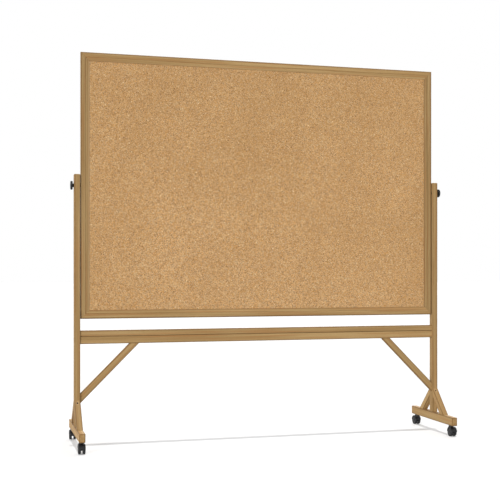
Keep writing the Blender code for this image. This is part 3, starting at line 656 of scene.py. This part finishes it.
def plastic(name, low, high, roughness, grain):
    """Moulded plastic with a fine spark-eroded texture and faint handling marks."""
    look = Look(name)
    fine = look.noise(look.place, grain, detail=3.0, roughness=0.55)
    wiped = look.vector("MULTIPLY", look.place, (1.0, 1.0, 3.0))
    marks = look.noise(wiped, 60.0, detail=4.0, roughness=0.6)
    tone = look.ramp(marks, [(0.35, low), (0.68, high)])
    rough = look.spread(marks, NOISE_SPAN, (roughness - 0.06, roughness + 0.09))
    relief = look.bump(fine, distance=0.00012, strength=0.4)
    return look.surface(Base_Color=tone, Roughness=rough, Normal=relief, Specular_IOR_Level=0.3)


def metal(name, low, high, roughness, stretch):
    """Turned or drawn metal; its fine marks are stretched as the tool left them."""
    look = Look(name)
    turned = look.vector("MULTIPLY", look.place, stretch)
    marks = look.noise(turned, 900.0, detail=3.0, roughness=0.6)
    smudge = look.noise(look.place, 140.0, detail=3.0, roughness=0.55)
    tone = look.mix(look.spread(smudge, (0.35, 0.68)), high, low)
    rough = look.spread(marks, NOISE_SPAN, (roughness - 0.08, roughness + 0.1))
    relief = look.bump(marks, distance=0.00006, strength=0.35)
    return look.surface(Base_Color=tone, Roughness=rough, Normal=relief, Metallic=1.0)


LOOKS = {
    "cork": cork(),
    "core": fibreboard(),
    "black_plastic": plastic(
        "satin_black_plastic",
        low=colour(24, 24, 26),
        high=colour(33, 33, 35),
        roughness=0.42,
        grain=2600.0,
    ),
    "knob_plastic": plastic(
        "knob_black_plastic",
        low=colour(13, 13, 14),
        high=colour(20, 20, 21),
        roughness=0.45,
        grain=2600.0,
    ),
    "wheel_plastic": plastic(
        "wheel_black_plastic",
        low=colour(30, 30, 32),
        high=colour(40, 40, 42),
        roughness=0.55,
        grain=1900.0,
    ),
    "black_washer": plastic(
        "black_washer_plastic",
        low=colour(18, 16, 16),
        high=colour(26, 24, 24),
        roughness=0.55,
        grain=2200.0,
    ),
    "steel": metal(
        "turned_steel",
        low=colour(158, 158, 160),
        high=colour(178, 178, 181),
        roughness=0.3,
        stretch=(1.0, 1.0, 9.0),
    ),
    "brass": metal(
        "turned_brass",
        low=colour(166, 140, 84),
        high=colour(190, 162, 100),
        roughness=0.32,
        stretch=(9.0, 1.0, 1.0),
    ),
    "dark_steel": metal(
        "blackened_steel",
        low=colour(36, 30, 25),
        high=colour(50, 43, 36),
        roughness=0.42,
        stretch=(3.0, 3.0, 3.0),
    ),
}


def dress_solids():
    """Gives each solid its material, and smooth normals over its round edges."""
    for seed, (name, (grain, light)) in enumerate(WOODS.items(), 1):
        materials = frame["nodes"][name].data.materials
        materials.clear()
        materials.append(wood(name, grain, light, seed))
    slots = {part["node"]: part["material_slot"] for part in frame["record"]["subparts"]}
    for name, solid in frame["nodes"].items():
        if name not in WOODS:
            solid.data.materials.clear()
            solid.data.materials.append(LOOKS[slots[name]])
        soften(solid)


def soften(solid):
    """Normals that turn smoothly over round edges. The points of the solid stay as they are."""
    mesh = solid.data
    points = np.empty(len(mesh.vertices) * 3, np.float32)
    mesh.vertices.foreach_get("co", points)
    keys = np.round(points.reshape(-1, 3) * POINTS_PER_METRE).astype(np.int64)
    _, spots = np.unique(keys, axis=0, return_inverse=True)
    spots = spots.ravel()
    facing = [face.normal.copy() for face in mesh.polygons]
    weight = [face.area for face in mesh.polygons]
    around = {}
    for face in mesh.polygons:
        for corner in face.loop_indices:
            spot = int(spots[mesh.loops[corner].vertex_index])
            around.setdefault(spot, set()).add(face.index)
    limit = math.cos(SMOOTH_ANGLE)
    normals = [None] * len(mesh.loops)
    for face in mesh.polygons:
        own = facing[face.index]
        for corner in face.loop_indices:
            spot = int(spots[mesh.loops[corner].vertex_index])
            total = Vector((0, 0, 0))
            for other in around[spot]:
                if own.dot(facing[other]) > limit:
                    total += facing[other] * weight[other]
            normals[corner] = total.normalized() if total.length else own
    mesh.polygons.foreach_set("use_smooth", [True] * len(mesh.polygons))
    mesh.normals_split_custom_set(normals)


# Finer pieces


def object_from(name, shape, looks):
    """An object of a shape, which is used up, with smooth faces and the looks as materials."""
    bmesh.ops.recalc_face_normals(shape, faces=shape.faces[:])
    mesh = bpy.data.meshes.new(name)
    shape.to_mesh(mesh)
    shape.free()
    mesh.polygons.foreach_set("use_smooth", [True] * len(mesh.polygons))
    for look in looks:
        mesh.materials.append(look)
    made = bpy.data.objects.new(name, mesh)
    bpy.context.scene.collection.objects.link(made)
    return made


def spun(shape, profile, steps, axis="X", flutes=0, start=0.0, sweep=FULL_TURN):
    """Turns a profile of (along the axis, radius, depth of the flutes there) about the axis."""
    whole = sweep == FULL_TURN
    rings = []
    for i in range(steps if whole else steps + 1):
        angle = start + sweep * i / steps
        ring = []
        for along, radius, depth in profile:
            reach = radius - depth * (0.5 - 0.5 * math.cos(flutes * angle))
            a = reach * math.cos(angle)
            b = reach * math.sin(angle)
            ring.append(shape.verts.new((along, a, b) if axis == "X" else (a, b, along)))
        rings.append(ring)
    following = rings[1:] + rings[:1] if whole else rings[1:]
    for one, other in zip(rings, following):
        for i in range(len(profile)):
            j = (i + 1) % len(profile)
            shape.faces.new((one[i], one[j], other[j], other[i]))
    if not whole:
        shape.faces.new(rings[0])
        shape.faces.new(rings[-1])
    bmesh.ops.remove_doubles(shape, verts=shape.verts[:], dist=WELD)
    return shape


def bow(along, out, radius, start, end, steps):
    """Points of an arc in a profile round (along, out), from one angle in degrees to another."""
    points = []
    for i in range(steps + 1):
        angle = math.radians(start + (end - start) * i / steps)
        points.append((along + radius * math.cos(angle), out + radius * math.sin(angle), 0))
    return points


def moved(table, along, out=0.0):
    """Points of a profile from a table of (along, out), moved by along and out."""
    return [(along + step, out + rise, 0) for step, rise in table]


def crisp(piece, width=0.0, segments=3):
    """Rounds the piece's sharp edges where a width is given, and keeps flat faces flat."""
    if width:
        edges = piece.modifiers.new("edges", "BEVEL")
        edges.width = width
        edges.segments = segments
        edges.limit_method = "ANGLE"
        edges.angle_limit = SMOOTH_ANGLE
        edges.use_clamp_overlap = True
    normals = piece.modifiers.new("normals", "WEIGHTED_NORMAL")
    normals.keep_sharp = False
    normals.weight = FACE_WEIGHT
    return piece


def wheel_shape():
    """Half of a twin wheel: grooved tread, rounded shoulders, dished side and a hub cap."""
    low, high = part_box("caster_wheel_front_left_right")
    axle_low, axle_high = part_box("caster_axle_front_left")
    centre = (axle_low.x + axle_high.x) / 2
    inner = low.x - centre
    outer = high.x - centre
    radius = (high.z - low.z) / 2
    edge, shoulder = WHEEL_INNER_EDGE, WHEEL_SHOULDER
    profile = [(inner, WHEEL_BORE, 0), (inner, radius - WHEEL_INNER_FLAT, 0)]
    profile += bow(inner + edge, radius - edge, edge, 180, 90, 4)
    deep, floor = WHEEL_GROOVE_DEPTH, WHEEL_GROOVE_FLOOR
    for share in WHEEL_GROOVE_SHARES:
        groove = ((-deep, 0.0), (-floor, -deep), (floor, -deep), (deep, 0.0))
        profile += moved(groove, inner + (outer - inner) * share, radius)
    profile += bow(outer - shoulder, radius - shoulder, shoulder, 90, 0, 8)
    rim = radius - shoulder - WHEEL_RIM
    profile += [(outer, rim, 0)]
    profile += bow(outer - WHEEL_LIP, rim - WHEEL_LIP_DROP, WHEEL_LIP, 0, -80, 3)
    dish = outer - WHEEL_DISH
    profile += [(dish, rim - WHEEL_DISH_SLOPE, 0), (dish, CAP_FOOT, 0)]
    profile += bow(dish + CAP_EDGE, CAP_FOOT - CAP_EDGE, CAP_EDGE, 90, 0, 3)
    profile += moved(CAP_CROWN, outer)
    shape = spun(bmesh.new(), profile, WHEEL_STEPS)
    for face in shape.faces:
        reach = face.calc_center_median()
        face.material_index = 1 if math.hypot(reach.y, reach.z) < rim else 0
    return shape


def hood_shape():
    """A caster's hood: crowned fender over both wheels, web, hub boss and stem collar.

    Its axle is on X at the origin, and its swivel axis stands at the trail in y."""
    low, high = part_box("caster_hood_front_left")
    axle = middle_of("caster_axle_front_left")
    half = (high.x - low.x) / 2
    radius = axle.y - low.y
    well = radius - HOOD_THICKNESS
    side = radius - HOOD_EDGE - HOOD_EDGE_DROP
    crown = ((-half * 0.5, -HOOD_CROWN), (0.0, 0.0), (half * 0.5, -HOOD_CROWN))
    section = [(-half, well, 0), (-half, side - HOOD_CROWN, 0)]
    section += bow(-half + HOOD_EDGE, side, HOOD_EDGE, 180, 96, 6)
    section += moved(crown, 0.0, radius)
    section += bow(half - HOOD_EDGE, side, HOOD_EDGE, 84, 0, 6)
    section += [(half, well, 0), (WEB_HALF, well, 0), (WEB_HALF, WEB_BORE, 0)]
    section += [(-WEB_HALF, WEB_BORE, 0), (-WEB_HALF, well, 0)]
    sweep = HALF_TURN - 2 * HOOD_START
    shape = spun(bmesh.new(), section, HOOD_STEPS, start=HOOD_START, sweep=sweep)

    boss = [(-WEB_HALF, BOSS_BORE, 0), (-WEB_HALF, BOSS_SIDE, 0)]
    boss += bow(-WEB_HALF + BOSS_EDGE, BOSS_RADIUS, BOSS_EDGE, 180, 90, 3)
    boss += bow(WEB_HALF - BOSS_EDGE, BOSS_RADIUS, BOSS_EDGE, 90, 0, 3)
    boss += [(WEB_HALF, BOSS_BORE, 0)]
    spun(shape, boss, BOSS_STEPS)

    collar = bmesh.new()
    neck = moved(COLLAR_FOOT, radius) + moved(COLLAR_TOP, high.z - axle.z)
    spun(collar, neck, WHEEL_STEPS, axis="Z")
    bmesh.ops.translate(collar, verts=collar.verts[:], vec=(0, HOOD_TRAIL, 0))
    spare = bpy.data.meshes.new("collar")
    collar.to_mesh(spare)
    collar.free()
    shape.from_mesh(spare)
    bpy.data.meshes.remove(spare)
    return shape


def knob_shape():
    """The clamp knob on X, its neck at the origin: fluted rim, dished face and centre button."""
    low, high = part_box("clamp_knob_right")
    face = high.x - low.x
    radius = (high.z - low.z) / 2
    edge = KNOB_EDGE
    profile = [(0.0, KNOB_BORE, 0)]
    profile += moved(KNOB_FOOT, 0.0, KNOB_NECK) + moved(KNOB_FILLET, KNOB_HEAD, KNOB_NECK)
    profile += [(KNOB_HEAD, radius + KNOB_UNDERSIDE, 0)]
    for corner, start, end in ((KNOB_HEAD + edge, 180, 90), (face - edge, 90, 0)):
        for along, out, _ in bow(corner, radius - edge, edge, start, end, 6):
            profile.append((along, out, KNOB_FLUTE_DEPTH * (out - radius + edge) / edge))
    profile += moved(KNOB_DISH, face, radius) + moved(KNOB_BUTTON, face)
    return spun(bmesh.new(), profile, KNOB_FLUTES * KNOB_STEPS_PER_FLUTE, flutes=KNOB_FLUTES)


def stand_in(name, mesh, place, turn, body, node):
    """Another object of a mesh, in place of a solid."""
    made = bpy.data.objects.new(name, mesh)
    bpy.context.scene.collection.objects.link(made)
    made.location = place
    made.rotation_euler = (0, 0, turn)
    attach(made, body)
    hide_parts(node)


def settled(piece):
    """The piece's mesh with its modifiers worked in; the piece itself goes."""
    graph = bpy.context.evaluated_depsgraph_get()
    mesh = bpy.data.meshes.new_from_object(piece.evaluated_get(graph))
    bpy.data.objects.remove(piece)
    return mesh


def make_casters():
    tyre = LOOKS["wheel_plastic"]
    cap = LOOKS["black_plastic"]
    wheel = settled(crisp(object_from("wheel", wheel_shape(), [tyre, cap])))
    hood = settled(crisp(object_from("hood", hood_shape(), [cap]), HOOD_BEVEL, segments=2))
    for side, _ in SIDES:
        for end, spin in (("front", 0), ("back", HALF_TURN)):
            label = end + "_" + side
            axle = middle_of("caster_axle_" + label)
            body = "caster_" + label
            node = "caster_hood_" + label
            stand_in("hood_" + label, hood, axle, spin, body, node)
            for wheel_side, _ in SIDES:
                which = label + "_" + wheel_side
                body = "wheel_" + which
                node = "caster_wheel_" + which
                turn = 0 if middle_of(node).x > axle.x else HALF_TURN
                stand_in("tyre_" + which, wheel, axle, turn, body, node)


def make_knobs():
    knob = settled(crisp(object_from("knob", knob_shape(), [LOOKS["knob_plastic"]])))
    for side, sign in SIDES:
        node = "clamp_knob_" + side
        low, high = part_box(node)
        _, y, z = middle_of(node)
        place = (low.x if sign > 0 else high.x, y, z)
        turn = 0 if sign > 0 else HALF_TURN
        stand_in("knob_" + side, knob, place, turn, "knob_" + side, node)


def make_glue_lines():
    """The dark glue line in each mitre of the board's frame."""
    look = plastic("glue_line", colour(92, 62, 36), colour(112, 78, 48), 0.6, 2000.0)
    low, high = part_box("frame_top_rail")
    bottom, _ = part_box("frame_bottom_rail")
    half_width = (high.x - low.x) / 2
    middle = (high.z + bottom.z) / 2
    half_height = (high.z - bottom.z) / 2
    outline = [(inset, -depth) for inset, depth in GLUE_OUTLINE]
    outline += reversed(GLUE_OUTLINE)
    for side, sign in SIDES:
        for level, up in (("top", 1), ("bottom", -1)):
            shape = bmesh.new()
            rings = []
            for offset in (-GLUE_HALF, GLUE_HALF):
                ring = []
                for inset, depth in outline:
                    x = sign * (half_width - inset + offset)
                    z = middle + up * (half_height - inset - offset)
                    ring.append(shape.verts.new((x, depth, z)))
                rings.append(ring)
            for i in range(len(outline)):
                j = (i + 1) % len(outline)
                shape.faces.new((rings[0][i], rings[0][j], rings[1][j], rings[1][i]))
            for ring in rings:
                shape.faces.new(ring)
            piece = object_from("glue_" + level + "_" + side, shape, [look])
            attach(crisp(piece), "board")


# Stage


def seen_directly(tree):
    """1 for what the camera sees, also in or through a shiny piece, and 0 for diffuse light."""
    ray = add_node(tree, "ShaderNodeLightPath").outputs
    seen = ray["Is Camera Ray"]
    for kind in ("Is Glossy Ray", "Is Transmission Ray"):
        inputs = {0: seen, 1: ray[kind]}
        seen = add_node(tree, "ShaderNodeMath", inputs, operation="MAXIMUM").outputs[0]
    return seen


def make_floor():
    shape = bmesh.new()
    corners = [(-FLOOR_HALF, -FLOOR_HALF), (FLOOR_HALF, -FLOOR_HALF)]
    corners += [(FLOOR_HALF, FLOOR_HALF), (-FLOOR_HALF, FLOOR_HALF)]
    shape.faces.new([shape.verts.new((x, y, 0)) for x, y in corners])
    look = Look("floor")
    seen = seen_directly(look.tree)
    paint = look.surface(
        Base_Color=look.mix(seen, (FLOOR_BOUNCE,) * 3 + (1,), (FLOOR_SEEN,) * 3 + (1,)),
        Roughness=FLOOR_ROUGHNESS,
        Specular_IOR_Level=0,
        Emission_Color=WHITE,
        Emission_Strength=look.maths("MULTIPLY", seen, FLOOR_GLOW),
    )
    object_from("floor", shape, [paint])


def make_world():
    world = bpy.data.worlds.new("studio")
    bpy.context.scene.world = world
    world.use_nodes = True
    tree = world.node_tree
    tree.nodes.clear()
    inputs = {0: seen_directly(tree), 3: WORLD_LEVEL, 4: 1}
    level = add_node(tree, "ShaderNodeMapRange", inputs).outputs[0]
    glow = add_node(tree, "ShaderNodeBackground", {"Color": WHITE, "Strength": level})
    add_node(tree, "ShaderNodeOutputWorld", {"Surface": glow.outputs["Background"]})


def make_suns():
    for name, (level, width, direction) in SUNS.items():
        lamp = bpy.data.lights.new(name, "SUN")
        lamp.energy = level * math.pi
        lamp.angle = math.radians(width)
        made = bpy.data.objects.new(name, lamp)
        bpy.context.scene.collection.objects.link(made)
        made.rotation_euler = Vector(direction).to_track_quat("-Z", "Y").to_euler()


def make_camera():
    lens = bpy.data.cameras.new("camera")
    lens.lens = CAMERA_LENS
    lens.sensor_width = CAMERA_SENSOR
    lens.sensor_fit = "HORIZONTAL"
    lens.shift_y = CAMERA_SHIFT
    lens.clip_end = CAMERA_REACH
    made = bpy.data.objects.new("camera", lens)
    bpy.context.scene.collection.objects.link(made)
    made.location = CAMERA_PLACE
    made.rotation_euler = (math.radians(90), 0, -CAMERA_YAW)
    bpy.context.scene.camera = made


make_camera()
make_world()
make_suns()
make_floor()
dress_solids()
make_casters()
make_knobs()
make_glue_lines()
bpy.context.scene.view_settings.view_transform = "Standard"
